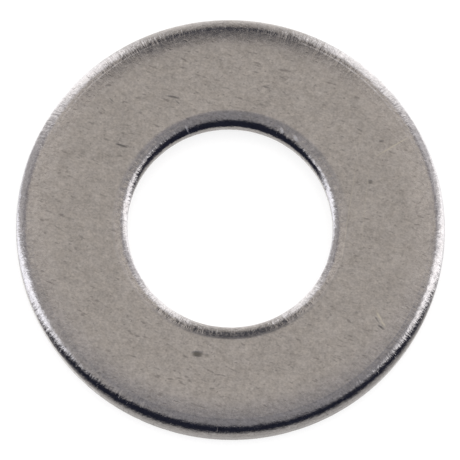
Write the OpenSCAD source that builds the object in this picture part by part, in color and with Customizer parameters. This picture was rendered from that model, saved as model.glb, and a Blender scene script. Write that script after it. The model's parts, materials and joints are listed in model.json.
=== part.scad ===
// Plain flat washer, size 4 of the ISO 7089 normal series.
//
// The washer is one piece: a ring pierced and blanked from sheet, then tumbled.
// The piercing punch pulls the upper face down before it cuts, which leaves a
// short steep roll around the bore. Blanking leaves a wide flat one outside.
// Tumbling rounds the corners after that, so from the face down each edge runs:
// flat face, roll, round corner, straight land, round foot.
//
// The frame stands on the underside: the origin is the bore's axis at z = 0.

/* [Washer] */
// Bore diameter
bore_d = 4.3; // [4.3:0.01:4.48]
// Outside diameter
outside_d = 9; // [8.64:0.01:9]
// Thickness
thickness = 0.8; // [0.76:0.01:0.9]

/* [Bore edge] */
// How far the roll reaches out from the round corner
bore_roll_run = 0.16; // [0.1:0.01:0.4]
// Slope of the roll where it meets the round corner, in degrees
bore_roll_slope = 16; // [6:1:17]
// Radius of the upper corner
bore_corner_r = 0.27; // [0.2:0.01:0.28]
// Radius of the lower corner
bore_foot_r = 0.42; // [0.1:0.01:0.42]

/* [Outer edge] */
// How far the roll reaches in from the round corner
outer_roll_run = 0.6; // [0.1:0.01:0.7]
// Slope of the roll where it meets the round corner, in degrees
outer_roll_slope = 8; // [6:1:10]
// Radius of the upper corner
outer_corner_r = 0.38; // [0.2:0.01:0.39]
// Radius of the lower corner
outer_foot_r = 0.18; // [0.1:0.01:0.22]

/* [Hidden] */
// How far the cutters reach past the blank
clear = 1;
// The roll's arc sits this far in and up from where it would be tangent, so that it
// crosses the round corner and the face at an angle and leaves no slivers there
nudge_in = 0.0003;
nudge_up = 0.00001;
$fn = 192;

bore_r = bore_d / 2;
outside_r = outside_d / 2;

// Radius of the shallow arc that starts flat and reaches the given slope over run
function roll_r(run, slope) = run / sin(slope);

// Width of the round corner, from the wall to where the roll begins
function corner_run(corner_r, slope) = corner_r * (1 - sin(slope));

// Height of the round corner's centre, which is where the wall's land ends
function corner_z(run, slope, corner_r) =
    thickness - roll_r(run, slope) * (1 - cos(slope)) - corner_r * cos(slope);

// What stamping and tumbling take off one edge of a square section. The wall
// is on the Y axis, the metal on its +X side and the underside on the X axis.
module edge_cut(run, slope, corner_r, foot_r) {
    roll_start = corner_run(corner_r, slope);
    land_top = corner_z(run, slope, corner_r);

    // Lower corner
    difference() {
        translate([-clear, -clear])
            square([clear + foot_r, clear + foot_r]);
        translate([foot_r, foot_r])
            circle(foot_r);
    }

    // Upper corner, from the land up to the end of the roll
    difference() {
        translate([-clear, land_top])
            square([clear + roll_start, thickness - land_top + clear]);
        translate([corner_r, land_top])
            circle(corner_r);
    }

    // Roll, from above the corner to the flat of the face
    difference() {
        translate([0, land_top])
            square([roll_start + run, thickness - land_top + clear]);
        translate([roll_start + run + nudge_in, thickness - roll_r(run, slope) + nudge_up])
            circle(roll_r(run, slope));
    }
}

// Half section of the ring, in the XY plane with the axis on Y
module ring_section() {
    difference() {
        translate([bore_r, 0])
            square([outside_r - bore_r, thickness]);
        translate([bore_r, 0])
            edge_cut(bore_roll_run, bore_roll_slope, bore_corner_r, bore_foot_r);
        translate([outside_r, 0])
            mirror([1, 0])
                edge_cut(outer_roll_run, outer_roll_slope, outer_corner_r, outer_foot_r);
    }
}

module washer() {
    color([0.6, 0.58, 0.55])
        rotate_extrude()
            ring_section();
}

washer();
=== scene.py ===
"""The looks of the flat washer: a fine mesh of the tumbled ring, its steel, and a plain pale studio.

Lengths are in millimetres up to MM, which turns them into the frame's metres. Colours are linear.
Azimuths run from +X over +Y, so the camera stands at 270. Drops are degrees down from the zenith.
"""

import json
import math

import bpy
import numpy as np
from mathutils import Matrix, Vector


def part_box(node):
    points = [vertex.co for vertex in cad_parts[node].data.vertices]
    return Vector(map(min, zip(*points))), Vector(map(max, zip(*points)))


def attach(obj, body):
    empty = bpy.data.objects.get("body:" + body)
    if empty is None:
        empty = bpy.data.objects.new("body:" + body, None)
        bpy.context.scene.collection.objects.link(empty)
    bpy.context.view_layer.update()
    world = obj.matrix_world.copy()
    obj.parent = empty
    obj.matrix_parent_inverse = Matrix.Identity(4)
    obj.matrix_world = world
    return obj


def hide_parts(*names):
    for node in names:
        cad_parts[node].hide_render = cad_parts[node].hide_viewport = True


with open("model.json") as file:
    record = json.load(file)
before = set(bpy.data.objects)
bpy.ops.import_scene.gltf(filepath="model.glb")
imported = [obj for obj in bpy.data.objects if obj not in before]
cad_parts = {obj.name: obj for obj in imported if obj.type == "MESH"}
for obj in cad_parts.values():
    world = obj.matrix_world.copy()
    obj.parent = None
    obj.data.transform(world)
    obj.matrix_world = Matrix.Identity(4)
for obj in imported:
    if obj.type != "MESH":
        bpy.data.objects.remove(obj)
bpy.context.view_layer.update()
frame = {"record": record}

MM = 0.001
SEED = 4

# The washer's sizes come from the frame. Its edge shapes repeat the CAD source's: how far the roll runs,
# its slope where it meets the round corner, and the radii of the upper corner and of the foot.
BORE_R = next(m["dims"]["r_mm"] for m in frame["record"]["mounts"] if m["name"] == "bore")
OUTSIDE_R = round(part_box("washer")[1].x / MM, 3)
THICKNESS = round(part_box("washer")[1].z / MM, 3)
BORE_EDGE = {"wall": BORE_R, "inward": 1, "run": 0.16, "slope": 16, "corner": 0.27, "foot": 0.42}
OUTER_EDGE = {"wall": OUTSIDE_R, "inward": -1, "run": 0.6, "slope": 8, "corner": 0.38, "foot": 0.18}

# The punch stood this far off the blank's centre, in X and Y. The mesh has all of the shift up to the
# first radius and none of it from the second one on.
BORE_SHIFT = (-0.014, -0.031)
SHIFT_FADE = (2.7, 3.6)

# Mesh density: points round the ring, and steps along each stretch of an edge
AROUND = 800
STEPS = {"bore roll": 14, "outer roll": 12, "corner": 26, "land": 4, "foot": 7, "face": 14, "underside": 9}

# Dents from tumbling: how many, at which tilts of the section, and their ranges of size
DENTS = {
    "count": 520,
    "tilt": (12, 150),
    "wide": (0.03, 0.12),
    "long": (0.04, 0.2),
    "deepest": 0.004,
    "share": (0.15, 1),
}


# ---------------------------------------------------------------- section


def edge_section(edge, roll_steps):
    """The edge's points from the flat of the face to the flat of the underside.

    Each is (distance from the axis, height, degrees turned from the upper face)."""
    slope = math.radians(edge["slope"])
    corner, foot = edge["corner"], edge["foot"]
    roll_r = edge["run"] / math.sin(slope)
    roll_end = corner * (1 - math.sin(slope)) + edge["run"]
    land_top = THICKNESS - roll_r * (1 - math.cos(slope)) - corner * math.cos(slope)
    points = []
    for i in range(roll_steps + 1):
        a = slope * i / roll_steps
        points.append((roll_end - roll_r * math.sin(a), THICKNESS - roll_r * (1 - math.cos(a)), a))
    for i in range(1, STEPS["corner"] + 1):
        a = slope + (math.pi / 2 - slope) * i / STEPS["corner"]
        points.append((corner * (1 - math.sin(a)), land_top + corner * math.cos(a), a))
    for i in range(1, STEPS["land"] + 1):
        points.append((0, land_top + (foot - land_top) * i / STEPS["land"], math.pi / 2))
    for i in range(1, STEPS["foot"] + 1):
        a = math.pi / 2 * i / STEPS["foot"]
        points.append((foot * (1 - math.cos(a)), foot * (1 - math.sin(a)), math.pi / 2 + a))
    return [(edge["wall"] + edge["inward"] * d, z, math.degrees(a)) for d, z, a in points]


def between(a, b, steps):
    """The points of a flat stretch from a to b, without its ends."""
    return [tuple(p + (q - p) * i / steps for p, q in zip(a, b)) for i in range(1, steps)]


def ring_section():
    """The closed half section, from the bore's foot over the face and back along the underside."""
    bore = edge_section(BORE_EDGE, STEPS["bore roll"])[::-1]
    outer = edge_section(OUTER_EDGE, STEPS["outer roll"])
    face = between(bore[-1], outer[0], STEPS["face"])
    underside = between(outer[-1], bore[0], STEPS["underside"])
    return np.array(bore + face + outer + underside)


# ---------------------------------------------------------------- mesh


def arc_lengths(section):
    """Distance along the closed section of each of its points, and the whole way round."""
    step = np.hypot(*(np.roll(section, -1, 0) - section)[:, :2].T)
    return np.concatenate([[0], np.cumsum(step)[:-1]]), step.sum()


def section_normals(section):
    """Outward unit normals of the section, as (away from the axis, up)."""
    along = (np.roll(section, -1, 0) - np.roll(section, 1, 0))[:, :2]
    along /= np.linalg.norm(along, axis=1)[:, None]
    return np.stack([-along[:, 1], along[:, 0]], 1)


def tumbling_dents(section, rng):
    """How far tumbling has knocked each mesh point in, as (around, along the section)."""
    s, whole = arc_lengths(section)
    turn = np.arange(AROUND) * 2 * math.pi / AROUND
    depth = np.zeros((AROUND, len(section)))
    least, most = DENTS["tilt"]
    steep = np.flatnonzero((section[:, 2] > least) & (section[:, 2] < most))
    for _ in range(DENTS["count"]):
        k = rng.choice(steep)
        a = rng.uniform(0, 2 * math.pi)
        wide = rng.uniform(*DENTS["wide"])
        long = rng.uniform(*DENTS["long"])
        deep = DENTS["deepest"] * rng.uniform(*DENTS["share"]) ** 2
        off_turn = (turn - a + math.pi) % (2 * math.pi) - math.pi
        off_s = (s - s[k] + whole / 2) % whole - whole / 2
        across = (off_turn[:, None] * section[None, :, 0]) / wide
        depth += deep * np.exp(-(across**2) - (off_s[None, :] / long) ** 2)
    return depth


def build_ring(name):
    section = ring_section()
    rng = np.random.default_rng(SEED)
    turn = (np.arange(AROUND) * 2 * math.pi / AROUND)[:, None]
    normals = section_normals(section)
    depth = tumbling_dents(section, rng)
    radius = section[:, 0] - normals[:, 0] * depth
    height = section[:, 1] - normals[:, 1] * depth
    points = np.stack([radius * np.cos(turn), radius * np.sin(turn), height], -1)
    whole, none = SHIFT_FADE
    share = np.clip((none - section[:, 0]) / (none - whole), 0, 1)
    points[..., :2] += share[None, :, None] * np.array(BORE_SHIFT)
    points = points.reshape(-1, 3)

    count = len(section)
    i, k = np.meshgrid(np.arange(AROUND), np.arange(count), indexing="ij")
    i2, k2 = (i + 1) % AROUND, (k + 1) % count
    faces = np.stack([i * count + k, i2 * count + k, i2 * count + k2, i * count + k2], -1)

    mesh = bpy.data.meshes.new(name)
    mesh.from_pydata((points * MM).tolist(), [], faces.reshape(-1, 4).tolist())
    mesh.shade_smooth()
    mesh.update()
    tilt = mesh.attributes.new("tilt", "FLOAT", "POINT")
    from_level = np.minimum(section[:, 2], 180 - section[:, 2])
    tilt.data.foreach_set("value", np.tile(from_level, AROUND).astype(np.float32))
    ring = bpy.data.objects.new(name, mesh)
    bpy.context.scene.collection.objects.link(ring)
    return ring


# ---------------------------------------------------------------- node helpers


def is_socket(value):
    return isinstance(value, bpy.types.NodeSocket)


class Graph:
    """Short calls for the nodes used here. Those from math on return the new node's output socket."""

    def __init__(self, tree):
        self.tree = tree
        tree.nodes.clear()

    def node(self, kind, inputs=(), **settings):
        made = self.tree.nodes.new(kind)
        for key, value in settings.items():
            setattr(made, key, value)
        for key, value in dict(inputs).items():
            if is_socket(value):
                self.tree.links.new(value, made.inputs[key])
            else:
                made.inputs[key].default_value = value
        return made

    def shown(self, shader, output="ShaderNodeOutputMaterial"):
        """Puts the shader on the surface."""
        return self.node(output, {"Surface": shader.outputs[0]})

    def math(self, operation, a, b=0.0):
        return self.node("ShaderNodeMath", {0: a, 1: b}, operation=operation).outputs[0]

    def vector(self, operation, a, b=(0, 0, 0)):
        made = self.node("ShaderNodeVectorMath", {0: a, 1: b}, operation=operation)
        return made.outputs["Value" if operation in ("LENGTH", "DOT_PRODUCT") else "Vector"]

    def scaled(self, vector, by):
        made = self.node("ShaderNodeVectorMath", {0: vector, "Scale": by}, operation="SCALE")
        return made.outputs["Vector"]

    def joined(self, x=0.0, y=0.0, z=0.0):
        return self.node("ShaderNodeCombineXYZ", {0: x, 1: y, 2: z}).outputs[0]

    def chain(self, operation, values):
        whole, *rest = values
        for value in rest:
            whole = self.math(operation, whole, value)
        return whole

    def total(self, *values):
        return self.chain("ADD", values)

    def both(self, *shares):
        """The shares multiplied: 1 where all of them are 1."""
        return self.chain("MULTIPLY", shares)

    def most(self, *shares):
        return self.chain("MAXIMUM", shares)

    def smooth(self, value, low, high):
        """0 up to low, 1 from high on, and smooth between; falls instead where low is above high."""
        inputs = {"Value": value, "From Min": low, "From Max": high}
        return self.node("ShaderNodeMapRange", inputs, interpolation_type="SMOOTHSTEP").outputs["Result"]

    def span(self, value, low, high):
        """Takes 0 to 1 to low to high."""
        inputs = {"Value": value, "To Min": low, "To Max": high}
        return self.node("ShaderNodeMapRange", inputs).outputs["Result"]

    def mix(self, share, a, b):
        """a where the share is 0 and b where it is 1, for two numbers or two colours."""
        numbers = all(v.type == "VALUE" if is_socket(v) else isinstance(v, float) for v in (a, b))
        a, b = ((*v, 1) if isinstance(v, tuple) else v for v in (a, b))
        made = self.node("ShaderNodeMix", data_type="FLOAT" if numbers else "RGBA")
        for name, value in (("Factor", share), ("A", a), ("B", b)):
            if is_socket(value):
                self.tree.links.new(value, made.inputs[name])
            else:
                made.inputs[name].default_value = value
        return next(o for o in made.outputs if o.enabled)

    def noise(self, vector, scale, detail=2.0, rough=0.5):
        inputs = {"Vector": vector, "Scale": scale, "Detail": detail, "Roughness": rough}
        return self.node("ShaderNodeTexNoise", inputs).outputs["Fac"]

    def placed(self, vector, at=(0, 0, 0), turn=0.0, size=(1, 1, 1)):
        """The vector as seen from a place that is scaled, and turned by degrees about Z."""
        turn = (0, 0, math.radians(turn))
        inputs = {"Vector": vector, "Location": at, "Rotation": turn, "Scale": size}
        return self.node("ShaderNodeMapping", inputs, vector_type="TEXTURE").outputs["Vector"]

    def pattern(self, vector, at=(0, 0, 0), turn=0.0, stretch=1.0, **noise):
        """Noise that is stretched along the turned X."""
        return self.noise(self.placed(vector, at=at, turn=turn, size=(stretch, 1, 1)), **noise)


# ---------------------------------------------------------------- steel


# Where the flat face, the rolls and the corners begin and end, as the surface's tilt in degrees
WORN_TILT = (0.5, 6.0)
EDGE_TILT = (3.0, 14.0)
STEEP_TILT = (18.0, 55.0)
# Between these distances from the axis the bore's edge ends and the outer edge begins
OUTER_FROM = (3.2, 3.4)

STEEL = {
    "warm": (0.614, 0.581, 0.548),
    "cool": (0.608, 0.580, 0.555),
    "worn": (0.91, 0.918, 0.945),  # times the others, on the rolls and corners
    "dash": (0.30, 0.28, 0.27),
    "fleck": (0.85, 0.84, 0.82),
    "scratch": (0.84, 0.80, 0.68),
    "nick": (0.95, 0.95, 0.97),
    "pit_and_shadow": (0.12, 0.115, 0.10),
}
# How much of its colour each kind of mark puts on the steel
COVER = {"dash": 0.62, "fleck": 0.25, "pit_and_shadow": 0.8}
# What each pattern takes the steel's brightness from and to
SHADE = {"fine": (0.68, 1.32), "grain": (-0.33, 0.33), "clouds": (-0.14, 0.14)}

# Roughness from and to, over the grain or the coarse hairlines
ROUGH = {
    "face": (0.36, 0.48),
    "bore roll": (0.33, 0.43),
    "outer roll": (0.22, 0.30),
    "corner": (0.14, 0.28),
    "steep corner": (0.05, 0.17),
}
ROUGH_NICK = 0.55

# Height of the bumps in mm, and for the grit at the bore and outside
BUMP = {"fine": 0.0007, "dash": -0.0012, "pit_and_shadow": -0.012, "hair": 0.0032, "coarse hair": 0.0062, "lumps": 0.010}
BUMP_GRIT = (0.006, 0.0035)

# Noise over the millimetres of the part. The turn is that of the sheet's grain, in degrees.
PATTERNS = {
    "fine": {"turn": -8, "stretch": 1.25, "scale": 26.0, "detail": 2.0, "rough": 0.6},
    "grain": {"at": (5, 2, 1), "turn": -8, "stretch": 1.35, "scale": 12.0, "detail": 2.0, "rough": 0.6},
    "dashes": {"at": (1, 7, 3), "turn": -12, "stretch": 3.0, "scale": 17.0, "detail": 1.0, "rough": 0.4},
    "specks": {"at": (4, 6, 2), "turn": 20, "stretch": 1.6, "scale": 23.0, "detail": 1.0, "rough": 0.4},
    "flecks": {"at": (9, 4, 6), "scale": 24.0, "detail": 1.0, "rough": 0.4},
    "clouds": {"at": (2, 8, 5), "scale": 1.7, "detail": 3.0, "rough": 0.55},
    "tint": {"at": (6, 3, 9), "scale": 5.0, "detail": 2.0, "rough": 0.5},
    "lumps": {"scale": 7.0, "detail": 3.0, "rough": 0.6},
    "grit": {"at": (8, 3, 5), "scale": 17.0, "detail": 2.0, "rough": 0.6},
}

# Hairlines across the edges, at the bore and outside: how little they change over the corner, and scales
HAIR_SLANT = (0.044, 0.022)
HAIR = (105.0, 210.0)
COARSE_HAIR = (30.0, 60.0)
HAIR_NICKS = (60.0, 120.0)

# Dark marks on the upper face, of which the last two are painted shadows beside two bright scratches: x, y,
# length, width, turn, strength
PITS_AND_SHADOWS = [
    (-0.37, -2.87, 0.20, 0.10, 5, 1.0),
    (-0.16, -2.88, 0.10, 0.06, 0, 0.4),
    (-1.53, 2.55, 0.22, 0.035, -4, 0.7),
    (-1.42, 2.44, 0.12, 0.03, -40, 0.5),
    (-2.48, 1.37, 0.21, 0.035, -9, 0.8),
    (-2.81, 2.32, 0.13, 0.03, -35, 0.5),
    (-3.27, 1.12, 0.14, 0.12, -30, 0.25),
    (0.37, 3.01, 0.14, 0.03, -8, 0.45),
    (2.44, 2.33, 0.13, 0.03, -20, 0.45),
    (2.92, 2.15, 0.10, 0.03, 10, 0.4),
    (2.79, 1.25, 0.09, 0.07, 0, 0.6),
    (2.82, -1.60, 0.10, 0.06, 40, 0.4),
    # Painted shadows beside the bright scratches at 3.30, -1.60 and 3.40, -1.74
    (3.26, -1.68, 0.16, 0.035, 130, 0.45),
    (3.36, -1.83, 0.14, 0.04, 150, 0.7),
]
# Fine bright scratches on the upper face, the same way
SCRATCHES = [
    (3.16, 2.06, 0.70, 0.030, 39, 0.55),
    (3.30, -1.60, 0.20, 0.04, 128, 0.8),
    (3.40, -1.74, 0.14, 0.04, 136, 0.7),
    (2.42, 0.60, 2.30, 0.022, 88, 0.25),
    (2.74, 0.75, 1.70, 0.022, 91, 0.2),
]
# Bright nicks in the bore's upper corner, the same way
NICKS = [
    (-1.15, 1.90, 0.16, 0.04, 128, 1.0),
    (0.82, 2.12, 0.12, 0.06, 115, 1.0),
    (1.13, 1.99, 0.14, 0.06, 130, 0.9),
]
# A mark reaches this far down from the face, and fades over this share of its size either way
MARK_DEPTH = 0.3
MARK_SOFT = 0.6


def marked(g, mm, marks):
    """0 to 1, as strong as the strongest mark there."""
    shares = []
    for x, y, long, wide, turn, strength in marks:
        seen = g.placed(mm, at=(x, y, THICKNESS), turn=turn, size=(long / 2, wide / 2, MARK_DEPTH))
        inside = g.smooth(g.vector("LENGTH", seen), 1.0 + MARK_SOFT, 1.0 - MARK_SOFT)
        shares.append(g.both(inside, strength))
    return g.most(*shares)


def tumbled_steel():
    material = bpy.data.materials.new("worn_steel")
    material.use_nodes = True
    g = Graph(material.node_tree)
    place = g.node("ShaderNodeTexCoord").outputs["Object"]
    mm = g.vector("MULTIPLY", place, (1 / MM,) * 3)
    x, y, z = g.node("ShaderNodeSeparateXYZ", {0: mm}).outputs
    flat = g.joined(x, y)
    radius = g.vector("LENGTH", flat)
    tilt = g.node("ShaderNodeAttribute", attribute_name="tilt").outputs["Fac"]
    worn = g.smooth(tilt, *WORN_TILT)
    edge = g.smooth(tilt, *EDGE_TILT)
    steep = g.smooth(tilt, *STEEP_TILT)
    outer = g.smooth(radius, *OUTER_FROM)

    # Hairlines across the edges: fine round the ring, long over the corner
    slant = g.both(g.math("SUBTRACT", radius, z), g.mix(outer, *HAIR_SLANT))
    around = g.vector("ADD", g.vector("NORMALIZE", flat), g.joined(z=slant))
    hair = g.noise(around, g.mix(outer, *HAIR), 3.0, 0.6)
    coarse_hair = g.noise(around, g.mix(outer, *COARSE_HAIR), 2.0, 0.5)
    nicks = g.noise(g.placed(around, at=(3, 1, 2)), g.mix(outer, *HAIR_NICKS), 2.0, 0.5)

    # Rolled grain along X, dashes where the rolls pulled the surface, and cloudy patches
    seen = {name: g.pattern(mm, **how) for name, how in PATTERNS.items()}
    fine, grain = seen["fine"], seen["grain"]
    dash = g.most(g.smooth(seen["dashes"], 0.65, 0.78), g.smooth(seen["specks"], 0.67, 0.80))
    fleck = g.smooth(seen["flecks"], 0.66, 0.76)
    pits_and_shadows, scratches, dings = (marked(g, mm, marks) for marks in (PITS_AND_SHADOWS, SCRATCHES, NICKS))
    nicks = g.most(g.smooth(nicks, 0.66, 0.72), dings)

    colour = g.mix(g.smooth(seen["tint"], 0.3, 0.7), STEEL["warm"], STEEL["cool"])
    colour = g.scaled(colour, g.total(*(g.span(seen[name], *ends) for name, ends in SHADE.items())))
    colour = g.vector("MULTIPLY", colour, g.mix(worn, (1.0, 1.0, 1.0), STEEL["worn"]))
    colour = g.mix(g.both(dash, COVER["dash"]), colour, STEEL["dash"])
    colour = g.mix(g.both(fleck, COVER["fleck"]), colour, STEEL["fleck"])
    colour = g.mix(scratches, colour, STEEL["scratch"])
    colour = g.mix(dings, colour, STEEL["nick"])
    # Pits darken the steel here, and so do the two painted shadows among them
    colour = g.mix(g.both(pits_and_shadows, COVER["pit_and_shadow"]), colour, STEEL["pit_and_shadow"])

    # Satin on the face, smoother over the rolls, and polished on the corners
    rolls = zip(ROUGH["bore roll"], ROUGH["outer roll"])
    rough_roll = g.span(grain, *(g.mix(outer, *ends) for ends in rolls))
    rough_face = g.mix(worn, g.span(grain, *ROUGH["face"]), rough_roll)
    corners = (g.span(coarse_hair, *ROUGH[name]) for name in ("corner", "steep corner"))
    rough_edge = g.mix(nicks, g.mix(steep, *corners), ROUGH_NICK)
    roughness = g.mix(edge, rough_face, rough_edge)

    bumps = (("fine", fine), ("dash", dash), ("pit_and_shadow", pits_and_shadows))
    face = g.total(*(g.both(share, BUMP[name]) for name, share in bumps))
    bumps = (("hair", hair), ("coarse hair", coarse_hair), ("lumps", seen["lumps"]))
    corner = g.total(*(g.both(share, BUMP[name]) for name, share in bumps))
    corner = g.total(corner, g.both(seen["grit"], g.mix(outer, *BUMP_GRIT)))
    height = {"Height": g.mix(edge, face, corner), "Distance": MM, "Strength": 1.0}
    bump = g.node("ShaderNodeBump", height).outputs[0]

    steel = g.node(
        "ShaderNodeBsdfPrincipled",
        {"Base Color": colour, "Metallic": 1.0, "Roughness": roughness, "Normal": bump},
    )
    g.shown(steel)
    return material


# ---------------------------------------------------------------- studio


# Linear colours of the room that the steel reflects
ROOM = {
    "ceiling": (0.69, 0.644, 0.60),
    "cornice": (0.34, 0.325, 0.35),
    "wall at left": (0.58, 0.565, 0.58),
    "wall at right": (0.72, 0.71, 0.74),
    "back panels": (1.5, 1.49, 1.52),
    "column's top": (0.30, 0.28, 0.265),
    "column's foot": (0.90, 0.87, 0.85),
    "front": (0.325, 0.32, 0.342),
    "front at left": (0.50, 0.48, 0.475),
    "panel at left": (1.6, 1.63, 1.76),
    "panel at right": (1.68, 1.67, 1.72),
    "dark": (0.020, 0.0225, 0.039),
    "table": (1.0, 0.98, 0.96),
    "table's edge": (0.53, 0.515, 0.505),
    "lamp": (0.04, 0.045, 0.065),
}
# Azimuths of the back wall's middle, and from there to the middle of each of its panels
BACK = 97
BACK_PANELS = 32
# Azimuth and drop of the middle of the dark gap between the front panels
GAP = (283, 112)
# The gap's upper limit and the table's edge bow down from these azimuths, by this much a degree squared
GAP_BOW = (265, 0.0042)
TABLE_BOW = (291, 0.0057)
# Drop of the lamp's middle, its half height in degrees, its lean to the side, and its half width
LAMP = {"drop": 45.0, "high": 18.5, "lean": (1, 0.13, 0), "wide": 0.26}

# The table: radius in m, how far it lies below the washer in mm, its colour, and how strongly it glows
TABLE = {"radius": 1.0, "below": 0.002, "colour": (0.36, 0.36, 0.36, 1), "glow": 0.7}
# The sun's strength, and how wide it is in degrees
SUN = {"energy": 2.6, "angle": 110}
# The flag is a dark card of painted shade, standing in for the table's shade inside the bore. Its radius, its
# heights and where it fades in at both ends of them in mm, and the middle, the half and the fade of its arc
# in degrees
FLAG = {
    "radius": 1.55,
    "heights": (-0.12, 0.85),
    "fade in": ((-0.08, 0.2), (0.85, 0.65)),
    "middle": 92,
    "half": 62,
    "fade": 20,
}


def floor():
    below = (0, 0, -TABLE["below"] * MM)
    bpy.ops.mesh.primitive_circle_add(
        vertices=96, radius=TABLE["radius"], fill_type="NGON", location=below
    )
    made = bpy.context.object
    made.name = "floor"
    material = bpy.data.materials.new("pale_table")
    material.use_nodes = True
    g = Graph(material.node_tree)
    surface = g.node("ShaderNodeBsdfDiffuse", {"Color": TABLE["colour"]})
    glow = g.node("ShaderNodeEmission", {"Color": (1, 1, 1, 1), "Strength": TABLE["glow"]})
    g.shown(g.node("ShaderNodeAddShader", {0: surface.outputs[0], 1: glow.outputs[0]}))
    made.data.materials.append(material)
    made.visible_glossy = False
    return made


def facing(g, direction, azimuth):
    """Degrees round the horizon between the direction and an azimuth, 0 to 180 either way."""
    a = math.radians(azimuth)
    along = g.vector("DOT_PRODUCT", direction, (math.cos(a), math.sin(a), 0))
    across = g.vector("DOT_PRODUCT", direction, (-math.sin(a), math.cos(a), 0))
    return g.both(g.math("ARCTAN2", g.math("ABSOLUTE", across), along), 180 / math.pi)


def from_axis(g, direction, azimuth, drop):
    """Degrees between the direction and the one at an azimuth and a drop."""
    a, d = math.radians(azimuth), math.radians(drop)
    axis = (math.sin(d) * math.cos(a), math.sin(d) * math.sin(a), math.cos(d))
    return g.both(g.math("ARCCOSINE", g.vector("DOT_PRODUCT", direction, axis)), 180 / math.pi)


def bowed(g, direction, drop, azimuth, bow):
    """The drop, less what a limit that bows down on both sides of an azimuth has sunk by there."""
    sunk = g.both(g.math("POWER", facing(g, direction, azimuth), 2.0), bow)
    return g.math("SUBTRACT", drop, sunk)


def flag():
    """A dark card inside the bore, seen only by reflections in the bore's back wall: painted shade for the
    table's shade inside the bore.
    """
    arc, rise = np.meshgrid(np.linspace(-1, 1, 33), np.array(FLAG["heights"]), indexing="ij")
    turn = np.radians(FLAG["middle"] + FLAG["half"] * arc)
    points = np.stack([FLAG["radius"] * np.cos(turn), FLAG["radius"] * np.sin(turn), rise], -1)
    faces = [(2 * i, 2 * i + 2, 2 * i + 3, 2 * i + 1) for i in range(len(arc) - 1)]
    mesh = bpy.data.meshes.new("flag")
    mesh.from_pydata((points.reshape(-1, 3) * MM).tolist(), [], faces)
    made = bpy.data.objects.new("flag", mesh)
    bpy.context.scene.collection.objects.link(made)

    # Soft all round, and clear from behind
    material = bpy.data.materials.new("painted_bore_shade")
    material.use_nodes = True
    g = Graph(material.node_tree)
    mm = g.vector("MULTIPLY", g.node("ShaderNodeTexCoord").outputs["Object"], (1 / MM,) * 3)
    height = g.node("ShaderNodeSeparateXYZ", {0: mm}).outputs[2]
    ends = (g.smooth(height, *limits) for limits in FLAG["fade in"])
    sides = g.smooth(facing(g, mm, FLAG["middle"]), FLAG["half"], FLAG["half"] - FLAG["fade"])
    back = g.node("ShaderNodeNewGeometry").outputs["Backfacing"]
    share = g.both(*ends, sides, g.math("SUBTRACT", 1.0, back))
    # The painted shade itself: a dark glow in the room's dark colour
    painted_shade = g.node("ShaderNodeEmission", {"Color": (*ROOM["dark"], 1), "Strength": 1.0})
    clear = g.node("ShaderNodeBsdfTransparent")
    g.shown(g.node("ShaderNodeMixShader", {0: share, 1: clear.outputs[0], 2: painted_shade.outputs[0]}))
    mesh.materials.append(material)
    made.visible_camera = made.visible_diffuse = made.visible_shadow = False
    return made


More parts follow.
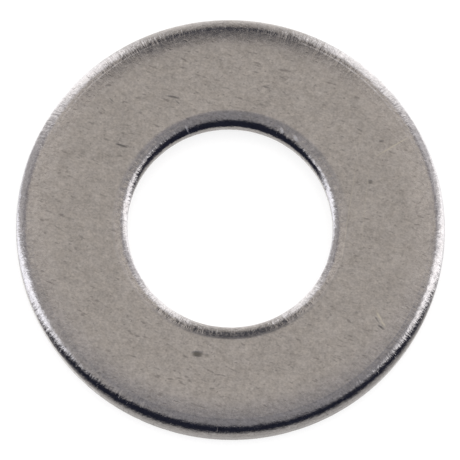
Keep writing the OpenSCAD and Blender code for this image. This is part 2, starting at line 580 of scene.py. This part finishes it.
def surroundings():
    """What the steel reflects: a warm grey room that darkens towards the camera, with pale panels."""
    world = bpy.data.worlds.new("studio")
    bpy.context.scene.world = world
    world.use_nodes = True
    g = Graph(world.node_tree)
    direction = g.node("ShaderNodeTexCoord").outputs["Generated"]
    drop = from_axis(g, direction, 0, 0)
    across = g.vector("DOT_PRODUCT", direction, (1, 0, 0))
    toward = g.vector("DOT_PRODUCT", direction, (0.09, -0.99, 0))
    rightness = g.smooth(across, -0.5, 0.5)
    back = facing(g, direction, BACK)
    gap = from_axis(g, direction, *GAP)

    # The back is a grey wall under a darker cornice, with a pale panel on each side of a beige column
    look = ROOM["ceiling"]
    at_back = g.smooth(back, 115.0, 85.0)
    look = g.mix(g.both(g.smooth(drop, 50.0, 66.0), at_back), look, ROOM["cornice"])
    wall = g.mix(rightness, ROOM["wall at left"], ROOM["wall at right"])
    look = g.mix(g.both(g.smooth(drop, 66.0, 84.0), at_back), look, wall)
    off_panel = g.math("ABSOLUTE", g.math("SUBTRACT", back, float(BACK_PANELS)))
    panels = g.both(g.smooth(off_panel, 18.0, 4.0), g.smooth(drop, 48.0, 78.0))
    look = g.mix(panels, look, ROOM["back panels"])
    column = g.mix(g.smooth(drop, 55.0, 130.0), ROOM["column's top"], ROOM["column's foot"])
    look = g.mix(g.both(g.smooth(back, 24.0, 14.0), g.smooth(drop, 30.0, 50.0)), look, column)

    # The camera's side: cool grey up high and lighter at the left
    look = g.mix(g.smooth(toward, -0.25, 0.19), look, ROOM["front"])
    left = g.both(g.smooth(across, -0.22, -0.48), g.smooth(drop, 20.0, 34.0), g.smooth(toward, -0.05, 0.15))
    look = g.mix(left, look, ROOM["front at left"])

    # Below that a pale panel on each side, the right one starting higher, and dark between them
    lean = g.total(drop, g.both(across, 8.0))
    pale = g.mix(rightness, ROOM["panel at left"], ROOM["panel at right"])
    sides = g.both(g.smooth(gap, 71.0, 77.0), g.smooth(gap, 103.0, 90.0))
    heights = g.both(g.smooth(lean, 52.0, 80.0), g.smooth(drop, 165.0, 125.0))
    look = g.mix(g.both(sides, heights), look, pale)
    arch = g.smooth(bowed(g, direction, drop, *GAP_BOW), 36.0, 62.0)
    look = g.mix(g.both(g.smooth(gap, 76.0, 64.0), arch), look, ROOM["dark"])

    # The table, and its near edge, which the washer's lowest edge picks up
    look = g.mix(g.smooth(drop, 145.0, 170.0), look, ROOM["table"])
    under = g.smooth(bowed(g, direction, drop, *TABLE_BOW), 88.0, 126.0)
    look = g.mix(g.both(under, g.smooth(gap, 80.0, 68.0)), look, ROOM["table's edge"])

    # A dark lamp head high up at the back
    lamp_drop = g.math("DIVIDE", g.math("SUBTRACT", drop, LAMP["drop"]), LAMP["high"])
    lamp_side = g.math("DIVIDE", g.vector("DOT_PRODUCT", direction, LAMP["lean"]), LAMP["wide"])
    lamp = g.smooth(g.vector("LENGTH", g.joined(lamp_drop, lamp_side)), 1.2, 0.8)
    look = g.mix(g.both(lamp, g.smooth(back, 90.0, 60.0)), look, ROOM["lamp"])

    background = g.node("ShaderNodeBackground", {"Color": look, "Strength": 1.0})
    g.shown(background, output="ShaderNodeOutputWorld")
    return world


def soft_light():
    """Even light for the table, from a wide source overhead that the steel doesn't mirror."""
    data = bpy.data.lights.new("overhead", "SUN")
    data.energy = SUN["energy"]
    data.angle = math.radians(SUN["angle"])
    made = bpy.data.objects.new("overhead", data)
    bpy.context.scene.collection.objects.link(made)
    made.visible_glossy = False
    return made


def camera():
    """From above and a little in front, with the washer's axis leaning to the right in the picture."""
    above, roll = math.radians(76.5), math.radians(7)
    distance, aim = 134 * MM, Vector((-0.007, -0.056, 0.4)) * MM
    back = Vector((0, -math.cos(above), math.sin(above)))
    data = bpy.data.cameras.new("camera")
    data.lens = 500
    data.clip_start, data.clip_end = 10 * MM, 4000 * MM
    made = bpy.data.objects.new("camera", data)
    bpy.context.scene.collection.objects.link(made)
    look = (-back).to_track_quat("-Z", "Y").to_matrix().to_4x4()
    made.matrix_world = Matrix.Translation(aim + back * distance) @ look @ Matrix.Rotation(roll, 4, "Z")
    bpy.context.scene.camera = made
    return made


def main():
    ring = build_ring("tumbled_ring")
    ring.data.materials.append(tumbled_steel())
    ring.visible_glossy = False
    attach(ring, "root")
    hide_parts("washer")
    floor()
    # Painted shade inside the bore, for the bore's back wall to reflect
    flag()
    surroundings()
    soft_light()
    camera()
    bpy.context.scene.view_settings.view_transform = "Standard"


main()
